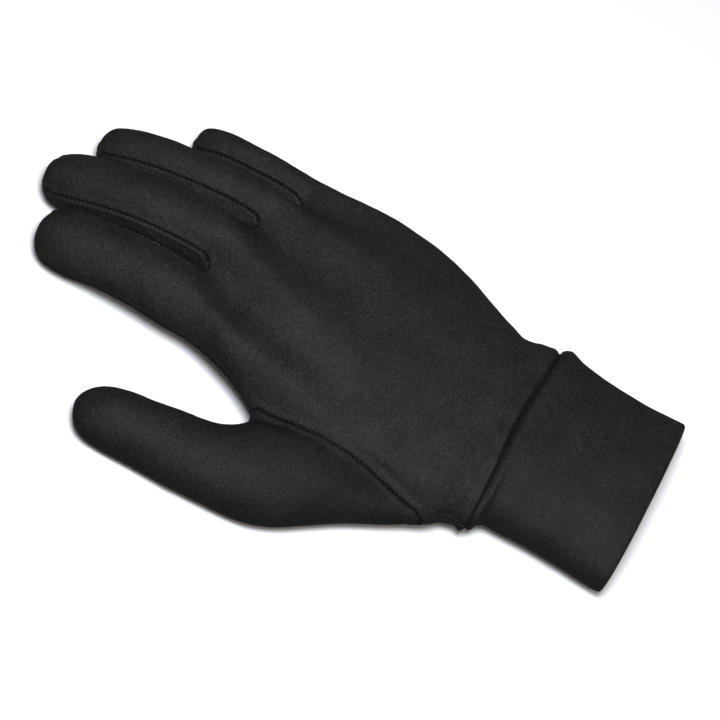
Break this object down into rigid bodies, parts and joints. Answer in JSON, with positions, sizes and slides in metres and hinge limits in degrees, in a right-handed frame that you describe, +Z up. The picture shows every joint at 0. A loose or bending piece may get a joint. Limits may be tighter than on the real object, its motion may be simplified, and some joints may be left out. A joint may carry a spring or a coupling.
{
  "type": "glove liner",
  "caption": "Close-fitting knitted liner glove for a right hand, filled as worn and lying palm down, with strips between the fingers, an inset thumb and a folded wrist cuff.",
  "frame": {"origin": "middle of the flat that rests under the heel of the palm", "axes": "+Y from the cuff to the fingertips, -X to the thumb, +Z up out of the back of the hand"},
  "size_m": [0.1453, 0.2481, 0.0375],
  "materials": {
    "knit": "fine brushed jersey knit, near black, matt with a soft sheen",
    "cuff_knit": "the same jersey folded double, near black and matt"
  },
  "bodies": {
    "root": {"back": "knit", "palm": "knit", "fourchette_index_middle": "knit", "fourchette_middle_ring": "knit", "fourchette_ring_little": "knit", "thumb": "knit", "cuff": "cuff_knit"}
  },
  "joints": []
}
